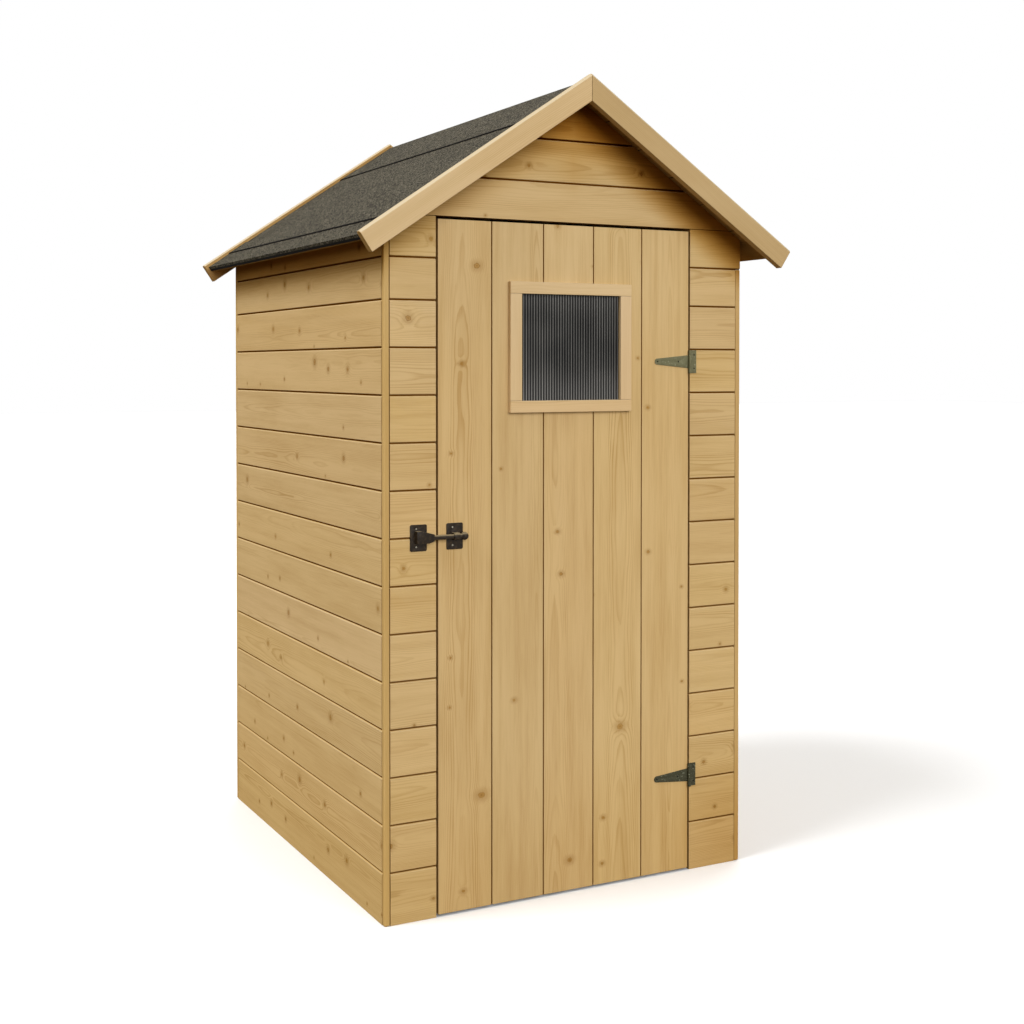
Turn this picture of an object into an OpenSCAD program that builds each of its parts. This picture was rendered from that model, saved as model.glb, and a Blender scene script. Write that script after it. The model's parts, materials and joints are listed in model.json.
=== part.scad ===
// Small gabled outhouse of tongue-and-groove boards, with a boarded door hung on two T-hinges.
// The front faces -Y, +X is to the right, +Z is up. The origin lies on the ground, under the
// middle of the box that holds the whole building.

/* [Walls] */
// Outside width of the walls
wall_w = 1045; // [900:5:1300]
// Outside depth of the walls
wall_d = 1200; // [1000:5:1500]
// Height of the roof's underside at the outer face of a side wall
eave_h = 1693; // [1600:1:1800]
// Thickness of the wall boards
board_t = 16; // [14:1:19]
// Width that one wall board covers
board_cover = 115.3; // [90:0.1:135]
// Height of the lowest wall board
bottom_board = 126.5; // [90:0.5:135]
// Height of the top board of a side wall, at its outer face
top_board = 80; // [60:1:110]
// Width of the V-joint between two boards
joint_w = 8; // [3:0.5:10]
// Depth of the V-joint between two boards
joint_depth = 4.5; // [2:0.5:6]
// Side of the square corner strips
corner_strip = 16; // [14:1:19]

/* [Doorway] */
// Width of the wall to the left of the doorway
left_panel_w = 137; // [130:1:180]
// Width of the wall to the right of the doorway
right_panel_w = 163; // [130:1:200]
// Gap under the door
door_floor_gap = 6; // [5:1:15]
// Gap at each side of the door
door_side_gap = 6; // [6:0.5:9]
// Gap over the door
door_head_gap = 8; // [6:0.5:12]
// Thickness of the door boards
door_t = 18; // [16:1:22]
// Number of door boards
door_boards_n = 5; // [4:1:7]
// Width of the joint between two door boards, and between two roof boards
fine_joint_w = 4; // [2:0.5:6]
// Depth of that joint
fine_joint_depth = 4; // [2:0.5:6]

/* [Gable] */
// Rise of the gable's lower edge over the eave
gable_rise = 24; // [12:1:36]
// Height of the lowest gable board
gable_board_low = 98; // [80:1:120]
// Height that each further gable board covers
gable_board_cover = 108.5; // [90:0.5:120]

/* [Window] */
// Outside width of the window frame
window_w = 355; // [300:1:400]
// Outside height of the window frame
window_h = 328; // [280:1:380]
// Distance from the door's top to the window frame
window_drop = 147; // [120:1:220]
// Distance from the door's middle to the window's, towards the hinges
window_shift = 4; // [0:1:15]
// Width of the upright frame strips
window_stile_w = 33; // [25:1:45]
// Height of the level frame strips
window_rail_h = 30; // [25:1:45]
// Thickness of the frame strips
window_frame_t = 12; // [8:1:18]
// Thickness of the pane
pane_t = 6; // [4:1:10]
// Overlap of the frame over the pane's edge
pane_lap = 5; // [3:1:8]
// Clearance round the pane's edge
pane_clear = 0.5; // [0.3:0.1:1]
// Width of the inner beads that hold the pane
bead_w = 10; // [8:1:14]

/* [Door frame] */
// Width of the battens on the door's back
door_batten_w = 70; // [50:1:90]
// Thickness of the battens on the door's back
door_batten_t = 20; // [16:1:28]
// Distance from the door's edge to its battens
door_batten_inset = 12; // [10:1:20]

/* [Wall frame] */
// Width of the posts
post_w = 45; // [38:1:60]
// Depth of the battens and door posts
post_t = 28; // [22:1:38]
// Height of the rail over the doorway
head_rail_h = 70; // [60:1:90]
// Distance from the eave down to the lower edge of the wall plates
plate_drop = 32; // [25:1:50]
// Depth of the ridge beam
ridge_beam_h = 70; // [60:1:95]
// Clearance between the roof boards and what carries them
roof_seat = 0.2; // [0.1:0.05:0.3]

/* [Roof] */
// Slope of the roof in degrees
pitch = 34; // [30:1:38]
// Thickness of the roof boards
deck_t = 16; // [14:1:19]
// Width that one roof board covers
deck_cover = 118; // [100:1:135]
// Length of a roof slope, ridge to eave
deck_len = 718; // [700:1:780]
// Roof overhang in front of the wall, with the bargeboard
front_overhang = 95; // [80:1:140]
// Thickness of the roofing felt
felt_t = 2; // [1.5:0.5:3]
// Width of the ridge strip of felt on each slope
ridge_felt_w = 192; // [150:1:230]
// Width of the felt that shows under the middle course
eave_felt_w = 81; // [60:1:120]
// Overlap of two courses of felt
felt_lap = 60; // [40:1:80]
// Depth of the felt turned down at the eave
felt_lip = 12; // [5:1:15]

/* [Bargeboards] */
// Width of the bargeboards
barge_w = 57; // [50:1:75]
// Thickness of the bargeboards
barge_t = 22; // [16:1:28]
// Height of the bargeboards over the felt
barge_proud = 9; // [1:0.5:14]
// Length of the bargeboards past the roof boards
barge_past = 12; // [4:1:20]

/* [Hinges] */
// Distance from the door's top to the upper hinge's centre
hinge_drop = 346; // [250:1:400]
// Distance from the door's bottom to the lower hinge's centre
hinge_rise = 250; // [200:1:400]
// Height of a hinge plate
hinge_plate_h = 61; // [50:1:70]
// Width of a hinge plate past the pin
hinge_plate_w = 22; // [18:1:30]
// Thickness of the hinge leaves
hinge_leaf_t = 2; // [1.5:0.5:3]
// Length of a strap from the pin to the centre of its round tip
strap_len = 101; // [80:1:130]
// Height of a strap at the pin
strap_root_h = 35; // [30:1:44]
// Radius of a strap's round tip
strap_tip_r = 8; // [6:0.5:12]
// Radius of the hinge barrel
barrel_r = 4.5; // [4:0.5:5]
// Radius of the hinge pin
pin_r = 2.5; // [2:0.25:3]
// Radial clearance of the strap on the pin
pin_clear = 0.05; // [0.03:0.01:0.08]
// Gap between two knuckles, and between the barrel and the wall's face
knuckle_gap = 0.4; // [0.3:0.1:0.6]
// Distance from the pin to the inner screw of a strap
strap_screw = 35; // [25:1:50]
// Distance from the pin to the screws of a hinge plate
plate_screw = 15; // [12:0.5:17]
// Distance from a hinge's middle to each screw of its plate
plate_screw_rise = 18; // [12:0.5:24]
// Radius of the screw holes in the hinges and latch plates
screw_r = 2.2; // [1.8:0.1:2.6]

/* [Latch] */
// Height of the latch bar over the ground
latch_z = 934; // [850:1:1000]
// Width of a latch plate
latch_plate_w = 44; // [38:1:50]
// Height of a latch plate
latch_plate_h = 65; // [56:1:75]
// Thickness of a latch plate
latch_plate_t = 2.5; // [2:0.5:4]
// Corner radius of a latch plate
latch_corner_r = 4; // [2:0.5:6]
// Distance from a latch plate's left edge to its screws
latch_screw = 16; // [12:0.5:22]
// Distance from a latch plate's middle to each screw
latch_screw_rise = 22; // [20:0.5:24]
// Distance from the doorway's edge to the keeper plate
keeper_edge = 25.5; // [20:0.5:40]
// Distance from the door's edge to the latch plate
latch_edge = 21.5; // [20:0.5:40]
// Radius of the latch bar
bar_r = 6; // [5:0.5:7]
// Distance from the door's face to the bar's axis
bar_stand = 12; // [11:0.5:15]
// Radius of the ball knob
ball_r = 10; // [8:0.5:11]
// Clearance round the bar in the keeper's open channel
channel_clear = 1.5; // [1:0.5:2]
// Distance from the keeper plate's outer edge to its horn
horn_edge = 12; // [8:1:16]
// Length of the horn past the keeper plate
horn_reach = 14; // [8:1:18]
// Height of the horn over the bar's axis, at its root
horn_root = 17; // [14:1:20]
// Height of the horn over the bar's axis, at its tip
horn_tip = 8.5; // [8:0.5:12]
// Depth of the horn under the bar's axis
horn_low = 13; // [10:0.5:16]
// Clearance between the horn and the bar's flared end in front of it
horn_clear = 0.5; // [0.3:0.1:1]
// Width of the loop that holds the bar on the door
loop_w = 16; // [10:1:20]
// Thickness of that loop round the bar
loop_wall = 3; // [2:0.5:4]

/* [Hidden] */
$fn = 48;

pine = "burlywood";
batten = "tan";
felt = "dimgray";
zinc = "darkkhaki";
iron = "#2b2724";

// Overall places, from the driving sizes
slope = tan(pitch);
half_w = wall_w / 2;
front_y = front_overhang - (front_overhang + wall_d + barge_t) / 2;
rear_y = front_y + wall_d;
ridge_h = eave_h + half_w * slope;
deck_front_y = front_y - front_overhang + barge_t;
strip_top = eave_h - top_board;
gable_z = eave_h + gable_rise;
course_end = deck_len - eave_felt_w;
plate_z = eave_h - plate_drop;
ridge_beam_z = ridge_h - post_w / 2 * slope - ridge_beam_h;

// Heights of the board joints
side_lines = concat([for (z = [bottom_board : board_cover : strip_top - board_cover / 2]) z], [strip_top]);
gable_lines = [for (z = [gable_z + gable_board_low : gable_board_cover : ridge_h]) z];

// The doorway and its leaf
opening_left = -half_w + left_panel_w;
opening_right = half_w - right_panel_w;
door_left = opening_left + door_side_gap;
door_right = opening_right - door_side_gap;
door_w = door_right - door_left;
door_top = gable_z - door_head_gap;
door_h = door_top - door_floor_gap;
door_pitch = door_w / door_boards_n;

// The window
window_left = (door_left + door_right - window_w) / 2 + window_shift;
window_z = door_top - window_drop - window_h;
light_w = window_w - 2 * window_stile_w;
light_h = window_h - 2 * window_rail_h;
pane_w = light_w + 2 * pane_lap;
pane_h = light_h + 2 * pane_lap;
window_cx = window_left + window_w / 2;
window_cz = window_z + window_h / 2;

// The hinge pin stands in front of the gap beside the door
hinge_x = (door_right + opening_right) / 2;
hinge_y = front_y - barrel_r - knuckle_gap;
hinge_upper_z = door_top - hinge_drop;
hinge_lower_z = door_floor_gap + hinge_rise;

// The latch
bar_y = front_y - bar_stand;
keeper_x = opening_left - keeper_edge - latch_plate_w;
latch_x = door_left + latch_edge;

// The bargeboards, measured across the slope
barge_top = deck_t + 2 * felt_t + barge_proud;
eps = 0.01;

// An outline in X and Z, extruded along Y
module along_y(y0, y1) {
    translate([0, y1, 0]) rotate([90, 0, 0]) linear_extrude(y1 - y0) children();
}

// An outline in Y and Z, extruded along X
module along_x(x0, x1) {
    translate([x0, 0, 0]) rotate([90, 0, 90]) linear_extrude(x1 - x0) children();
}

// Section of a board wall: its outer face lies at 0, with a V at every joint
module board_section(z0, z1, lines, t) {
    polygon(concat(
        [[0, z0]],
        [for (z = lines) if (z > z0 + joint_w && z < z1 - joint_w)
            each [[0, z - joint_w / 2], [joint_depth, z], [0, z + joint_w / 2]]],
        [[0, z1], [t, z1], [t, z0]]));
}

// Everything that carries the roof boards lies under this
module under_roof() {
    eave = eave_h - roof_seat;
    along_y(front_y - 1, rear_y + 1)
        polygon([[-half_w, 0], [half_w, 0], [half_w, eave], [0, ridge_h - roof_seat], [-half_w, eave]]);
}

// A place on a slope: X runs down from the ridge, Z stands off the roof boards' underside
module on_slope(side) {
    mirror([side < 0 ? 1 : 0, 0, 0]) translate([0, 0, ridge_h]) rotate([0, pitch, 0]) children();
}

// Start of a layer at height n over the slope, where the two slopes meet
function mitre(n) = -n * slope;

// Walls

module front_board_panel(x0, x1, z0, z1, lines) {
    intersection() {
        translate([0, front_y, 0]) along_x(x0, x1) board_section(z0, z1, lines, board_t);
        under_roof();
    }
}

// The left corner strips run up to the roof, the right ones to the top board
function strip_h(x_side) = x_side < 0 ? ridge_h : strip_top;

module corner_notch(x_side, y_side) {
    x0 = x_side < 0 ? -half_w - 1 : half_w - corner_strip;
    y0 = y_side < 0 ? front_y - 1 : rear_y - corner_strip;
    translate([x0, y0, -1]) cube([corner_strip + 1, corner_strip + 1, strip_h(x_side) + 1]);
}

module front_left_panel() {
    color(pine) difference() {
        front_board_panel(-half_w, opening_left, 0, gable_z, side_lines);
        corner_notch(-1, -1);
    }
}

module front_right_panel() {
    color(pine) difference() {
        front_board_panel(opening_right, half_w, 0, gable_z, side_lines);
        corner_notch(1, -1);
    }
}

module front_gable() {
    color(pine) front_board_panel(-half_w, half_w, gable_z, ridge_h, gable_lines);
}

module side_wall(side) {
    color(pine) mirror([side < 0 ? 0 : 1, 0, 0]) intersection() {
        translate([-half_w, 0, 0]) along_y(front_y + board_t, rear_y - board_t)
            board_section(0, ridge_h, side_lines, board_t);
        under_roof();
    }
}

module left_wall() side_wall(-1);
module right_wall() side_wall(1);

module rear_wall() {
    color(pine) difference() {
        intersection() {
            translate([0, rear_y, 0]) mirror([0, 1, 0]) along_x(-half_w, half_w)
                board_section(0, ridge_h, concat(side_lines, [gable_z], gable_lines), board_t);
            under_roof();
        }
        corner_notch(-1, 1);
        corner_notch(1, 1);
    }
}

module corner_strip_at(x_side, y_side) {
    x0 = x_side < 0 ? -half_w : half_w - corner_strip;
    y0 = y_side < 0 ? front_y : rear_y - corner_strip;
    color(pine) intersection() {
        translate([x0, y0, 0]) cube([corner_strip, corner_strip, strip_h(x_side)]);
        under_roof();
    }
}

module corner_strip_front_left() corner_strip_at(-1, -1);
module corner_strip_front_right() corner_strip_at(1, -1);
module corner_strip_rear_left() corner_strip_at(-1, 1);
module corner_strip_rear_right() corner_strip_at(1, 1);

// Frame inside the walls

module corner_posts() {
    x0 = half_w - board_t - post_w;
    color(batten) for (x = [-x0 - post_w, x0], y = [front_y + board_t, rear_y - board_t - post_w])
        translate([x, y, 0]) cube([post_w, post_w, plate_z]);
}

module door_posts() {
    color(batten) for (x = [opening_left - post_w, opening_right])
        translate([x, front_y + board_t, 0]) cube([post_w, post_t, gable_z]);
}

module head_rail() {
    color(batten) intersection() {
        translate([-half_w + board_t + post_w, front_y + board_t, gable_z])
            cube([wall_w - 2 * (board_t + post_w), post_t, head_rail_h]);
        under_roof();
    }
}

module wall_studs() {
    mid_y = (front_y + rear_y) / 2;
    color(batten) {
        for (x = [-half_w + board_t, half_w - board_t - post_t])
            translate([x, mid_y - post_w / 2, post_w]) cube([post_t, post_w, plate_z - post_w]);
        translate([-post_w / 2, rear_y - board_t - post_t, post_w])
            cube([post_w, post_t, ridge_beam_z - post_w]);
    }
}

module sill_battens() {
    side_len = wall_d - 2 * (board_t + post_w);
    rear_len = wall_w - 2 * (board_t + post_w);
    color(batten) {
        for (x = [-half_w + board_t, half_w - board_t - post_t])
            translate([x, front_y + board_t + post_w, 0]) cube([post_t, side_len, post_w]);
        translate([-rear_len / 2, rear_y - board_t - post_t, 0]) cube([rear_len, post_t, post_w]);
    }
}

module wall_plates() {
    color(batten) intersection() {
        for (x = [-half_w + board_t, half_w - board_t - post_w])
            translate([x, front_y + board_t, plate_z])
                cube([post_w, wall_d - 2 * board_t, ridge_h - plate_z]);
        under_roof();
    }
}

module gable_post() {
    color(batten) translate([-post_w / 2, front_y + board_t, gable_z + head_rail_h])
        cube([post_w, post_t, ridge_beam_z - gable_z - head_rail_h]);
}

module ridge_beam() {
    color(batten) intersection() {
        translate([-post_w / 2, front_y + board_t, ridge_beam_z])
            cube([post_w, wall_d - 2 * board_t, ridge_h - ridge_beam_z]);
        under_roof();
    }
}

// Roof

module roof_boards(side) {
    joints = [for (s = [deck_cover : deck_cover : deck_len - deck_cover / 2]) s];
    color(batten) on_slope(side) along_y(deck_front_y, rear_y)
        polygon(concat(
            [[mitre(0), 0]],
            [for (s = joints)
                each [[s - fine_joint_w / 2, 0], [s, fine_joint_depth], [s + fine_joint_w / 2, 0]]],
            [[deck_len, 0], [deck_len, deck_t], [mitre(deck_t), deck_t]]));
}

module roof_boards_left() roof_boards(-1);
module roof_boards_right() roof_boards(1);

module felt_eave(side) {
    top = course_end - felt_lap;
    color(felt) on_slope(side) along_y(deck_front_y, rear_y)
        polygon([[top, deck_t], [deck_len, deck_t], [deck_len, deck_t - felt_lip],
            [deck_len + felt_t, deck_t - felt_lip], [deck_len + felt_t, deck_t + felt_t],
            [top, deck_t + felt_t]]);
}

module felt_eave_left() felt_eave(-1);
module felt_eave_right() felt_eave(1);

module felt_course(side) {
    top = ridge_felt_w - felt_lap;
    step = course_end - felt_lap;
    color(felt) on_slope(side) along_y(deck_front_y, rear_y)
        polygon([[top, deck_t], [step - felt_t, deck_t], [step, deck_t + felt_t],
            [course_end, deck_t + felt_t], [course_end, deck_t + 2 * felt_t],
            [step, deck_t + 2 * felt_t], [step - felt_t, deck_t + felt_t], [top, deck_t + felt_t]]);
}

module felt_course_left() felt_course(-1);
module felt_course_right() felt_course(1);

module felt_ridge() {
    step = ridge_felt_w - felt_lap;
    color(felt) for (side = [-1, 1]) on_slope(side) along_y(deck_front_y, rear_y)
        polygon([[mitre(deck_t), deck_t], [step - felt_t, deck_t], [step, deck_t + felt_t],
            [ridge_felt_w, deck_t + felt_t], [ridge_felt_w, deck_t + 2 * felt_t],
            [step, deck_t + 2 * felt_t], [step - felt_t, deck_t + felt_t],
            [mitre(deck_t + felt_t), deck_t + felt_t]]);
}

module bargeboard(side, y0) {
    low = barge_top - barge_w;
    end = deck_len + barge_past;
    color(pine) on_slope(side) along_y(y0, y0 + barge_t)
        polygon([[mitre(low), low], [end, low], [end, barge_top], [mitre(barge_top), barge_top]]);
}

module bargeboard_front_left() bargeboard(-1, deck_front_y - barge_t);
module bargeboard_front_right() bargeboard(1, deck_front_y - barge_t);
module bargeboard_rear_left() bargeboard(-1, rear_y);
module bargeboard_rear_right() bargeboard(1, rear_y);

// Door

module door_boards() {
    joints = [for (i = [1 : door_boards_n - 1]) door_left + i * door_pitch];
    color(pine) difference() {
        translate([0, front_y, door_floor_gap]) linear_extrude(door_h)
            polygon(concat(
                [[door_left, 0]],
                [for (x = joints)
                    each [[x - fine_joint_w / 2, 0], [x, fine_joint_depth], [x + fine_joint_w / 2, 0]]],
                [[door_right, 0], [door_right, door_t], [door_left, door_t]]));
        translate([window_cx - pane_w / 2 - pane_clear, front_y - 1, window_cz - pane_h / 2 - pane_clear])
            cube([pane_w + 2 * pane_clear, door_t + 2, pane_h + 2 * pane_clear]);
    }
}

module door_stiles() {
    color(batten) for (x = [door_left + door_batten_inset, door_right - door_batten_inset - door_batten_w])
        translate([x, front_y + door_t, door_floor_gap + door_batten_inset])
            cube([door_batten_w, door_batten_t, door_h - 2 * door_batten_inset]);
}

module door_rails() {
    x0 = door_left + door_batten_inset + door_batten_w;
    top = door_floor_gap + door_h - door_batten_inset;
    low = door_floor_gap + door_batten_inset;
    mid = window_z - door_batten_w;
    color(batten) for (z = [low, (low + mid) / 2, mid, top - door_batten_w])
        translate([x0, front_y + door_t, z])
            cube([door_w - 2 * (door_batten_inset + door_batten_w), door_batten_t, door_batten_w]);
}

module window_frame() {
    color(pine) along_y(front_y - window_frame_t, front_y) difference() {
        translate([window_left, window_z]) square([window_w, window_h]);
        translate([window_cx - light_w / 2, window_cz - light_h / 2]) square([light_w, light_h]);
    }
}

module window_pane() {
    color("slategray", 0.6) translate([window_cx - pane_w / 2, front_y, window_cz - pane_h / 2])
        cube([pane_w, pane_t, pane_h]);
}

module window_beads() {
    color(batten) along_y(front_y + pane_t, front_y + door_t) difference() {
        translate([window_cx, window_cz]) square([pane_w, pane_h], center = true);
        translate([window_cx, window_cz]) square([pane_w - 2 * bead_w, pane_h - 2 * bead_w], center = true);
    }
}

// Hinges

module screw_hole(x, z, t) {
    translate([x, 1, z]) rotate([90, 0, 0]) cylinder(h = t + 2, r = screw_r);
}

// The plate on the wall carries the two outer knuckles and the pin
module hinge_plate(z) {
    knuckle_h = (hinge_plate_h - strap_root_h) / 2 - knuckle_gap;
    color(zinc) union() {
        difference() {
            translate([hinge_x, front_y - hinge_leaf_t, z - hinge_plate_h / 2])
                cube([hinge_plate_w, hinge_leaf_t, hinge_plate_h]);
            translate([hinge_x, hinge_y, z - strap_root_h / 2 - knuckle_gap])
                cylinder(h = strap_root_h + 2 * knuckle_gap, r = barrel_r + knuckle_gap);
            for (k = [-1, 1]) translate([0, front_y, 0])
                screw_hole(hinge_x + plate_screw, z + k * plate_screw_rise, hinge_leaf_t);
        }
        for (z0 = [z - hinge_plate_h / 2, z + hinge_plate_h / 2 - knuckle_h])
            translate([hinge_x, hinge_y, z0]) cylinder(h = knuckle_h, r = barrel_r);
        translate([hinge_x, hinge_y, z - hinge_plate_h / 2]) cylinder(h = hinge_plate_h, r = pin_r);
    }
}

module hinge_plate_upper() hinge_plate(hinge_upper_z);
module hinge_plate_lower() hinge_plate(hinge_lower_z);

// The strap on the door carries the middle knuckle
module hinge_strap(z) {
    color(zinc) difference() {
        union() {
            translate([hinge_x, 0, z]) along_y(front_y - hinge_leaf_t, front_y) union() {
                polygon([[0, -strap_root_h / 2], [0, strap_root_h / 2],
                    [-strap_len, strap_tip_r], [-strap_len, -strap_tip_r]]);
                translate([-strap_len, 0]) circle(r = strap_tip_r);
            }
            translate([hinge_x, hinge_y, z - strap_root_h / 2]) cylinder(h = strap_root_h, r = barrel_r);
        }
        translate([hinge_x, hinge_y, z - strap_root_h / 2 - 1])
            cylinder(h = strap_root_h + 2, r = pin_r + pin_clear);
        for (x = [strap_len, strap_screw]) translate([0, front_y, 0])
            screw_hole(hinge_x - x, z, hinge_leaf_t);
    }
}

module hinge_strap_upper() hinge_strap(hinge_upper_z);
module hinge_strap_lower() hinge_strap(hinge_lower_z);

// Latch

module latch_plate_body(x) {
    r = latch_corner_r;
    translate([0, 0, latch_z]) along_y(front_y - latch_plate_t, front_y) difference() {
        union() {
            translate([x + r, -latch_plate_h / 2]) square([latch_plate_w - 2 * r, latch_plate_h]);
            translate([x, -latch_plate_h / 2 + r]) square([latch_plate_w, latch_plate_h - 2 * r]);
            for (cx = [x + r, x + latch_plate_w - r], cz = [-1, 1])
                translate([cx, cz * (latch_plate_h / 2 - r)]) circle(r = r);
        }
        for (cz = [-1, 1])
            translate([x + latch_screw, cz * latch_screw_rise]) circle(r = screw_r);
    }
}

// The horn narrows from its root on the keeper plate to the bar
module horn(y0, y1) {
    x0 = keeper_x + horn_edge;
    x1 = keeper_x + latch_plate_w + horn_reach;
    translate([0, 0, latch_z]) along_y(y0, y1)
        polygon([[x0, -horn_low], [x1 - horn_reach, -horn_low], [x1, -horn_tip], [x1, horn_tip],
            [x0 + horn_edge, horn_root], [x0, horn_root]]);
}

// The keeper's horn has an open channel, which takes the bar from the front
module latch_keeper() {
    channel = bar_r + channel_clear;
    color(iron) union() {
        latch_plate_body(keeper_x);
        difference() {
            horn(bar_y, front_y - latch_plate_t + eps);
            translate([keeper_x + 2 * horn_edge, bar_y - 1, latch_z - channel])
                cube([latch_plate_w, channel + 1, 2 * channel]);
        }
    }
}

module latch_plate() {
    x0 = latch_x + (latch_plate_w - loop_w) / 2;
    loop_r = bar_r + loop_wall;
    color(iron) difference() {
        union() {
            latch_plate_body(latch_x);
            translate([x0, bar_y, latch_z]) rotate([0, 90, 0]) cylinder(h = loop_w, r = loop_r);
            translate([x0, bar_y, latch_z - loop_r])
                cube([loop_w, bar_stand - latch_plate_t + eps, 2 * loop_r]);
        }
        translate([latch_x - 1, bar_y, latch_z]) rotate([0, 90, 0])
            cylinder(h = latch_plate_w + 2, r = bar_r + pin_clear);
    }
}

// The bar's end is flared, and closes the keeper's channel in front
module latch_bar() {
    x0 = keeper_x + 2 * horn_edge + channel_clear;
    x1 = latch_x + latch_plate_w;
    color(iron) union() {
        translate([x0, bar_y, latch_z]) rotate([0, 90, 0]) cylinder(h = x1 - x0, r = bar_r);
        translate([x1, bar_y, latch_z]) sphere(r = ball_r);
        horn(bar_y - bar_r, bar_y - horn_clear);
    }
}

front_left_panel();
front_right_panel();
front_gable();
left_wall();
right_wall();
rear_wall();
corner_strip_front_left();
corner_strip_front_right();
corner_strip_rear_left();
corner_strip_rear_right();
corner_posts();
door_posts();
head_rail();
wall_studs();
sill_battens();
wall_plates();
gable_post();
ridge_beam();
roof_boards_left();
roof_boards_right();
felt_eave_left();
felt_eave_right();
felt_course_left();
felt_course_right();
felt_ridge();
bargeboard_front_left();
bargeboard_front_right();
bargeboard_rear_left();
bargeboard_rear_right();
hinge_plate_upper();
hinge_plate_lower();
latch_keeper();
door_boards();
door_stiles();
door_rails();
window_frame();
window_pane();
window_beads();
hinge_strap_upper();
hinge_strap_lower();
latch_plate();
latch_bar();
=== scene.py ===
"""Looks for the outhouse: boards, felt, window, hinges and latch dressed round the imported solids.

All is in the frame's metres: the front looks along -Y, +X is to the right and +Z is up.
"""

import json
import math
import random

import bmesh
import bpy
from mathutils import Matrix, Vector


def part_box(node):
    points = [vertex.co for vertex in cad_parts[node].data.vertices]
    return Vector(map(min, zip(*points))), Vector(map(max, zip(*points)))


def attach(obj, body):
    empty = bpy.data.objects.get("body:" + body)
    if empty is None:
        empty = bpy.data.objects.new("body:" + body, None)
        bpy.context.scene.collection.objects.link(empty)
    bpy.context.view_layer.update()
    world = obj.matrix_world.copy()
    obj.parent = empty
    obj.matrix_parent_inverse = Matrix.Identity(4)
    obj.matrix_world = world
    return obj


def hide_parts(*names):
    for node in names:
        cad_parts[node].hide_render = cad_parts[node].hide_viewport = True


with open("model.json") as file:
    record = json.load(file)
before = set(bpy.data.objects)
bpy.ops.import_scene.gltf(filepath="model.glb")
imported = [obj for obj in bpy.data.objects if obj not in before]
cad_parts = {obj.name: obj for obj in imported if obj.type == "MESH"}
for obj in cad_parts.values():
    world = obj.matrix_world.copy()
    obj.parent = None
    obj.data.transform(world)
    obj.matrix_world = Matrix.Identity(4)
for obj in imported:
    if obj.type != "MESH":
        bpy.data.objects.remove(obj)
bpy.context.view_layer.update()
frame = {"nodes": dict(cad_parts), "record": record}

RECORD = frame["record"]
BODY = {node: body for body, names in RECORD["behaviour"]["bodies"].items() for node in names}
X, Y, Z = Vector((1, 0, 0)), Vector((0, 1, 0)), Vector((0, 0, 1))
MM = 0.001
SAME = 0.05 * MM       # places that lie closer than this count as one
GABLE_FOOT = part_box("front_gable")[0].z     # the height at which the front panels end
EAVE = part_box("felt_eave_left")[0].z        # the height of the felt's lowest edge
# each board and screw draws from this one stream, so the order of the calls settles every grain
draw = random.Random(7)


def right_slope():
    """Down the right slope, out of it, and how far out its boards' undersides lie."""
    points = [v.co for v in frame["nodes"]["roof_boards_right"].data.vertices]
    top = max(points, key=lambda p: p.z)
    far = max(points, key=lambda p: p.x)
    down = Vector((far.x - top.x, 0, far.z - top.z)).normalized()
    out = Vector((-down.z, 0, down.x))
    return down, out, min(p.dot(out) for p in points)


DOWN, OUT, UNDERSIDE = right_slope()


def slope(side):
    """Down a roof slope and out of it, on the left (-1) or on the right (1)."""
    return Vector((DOWN.x * side, 0, DOWN.z)), Vector((OUT.x * side, 0, OUT.z))


# ---------------------------------------------------------------- node graphs

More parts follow.
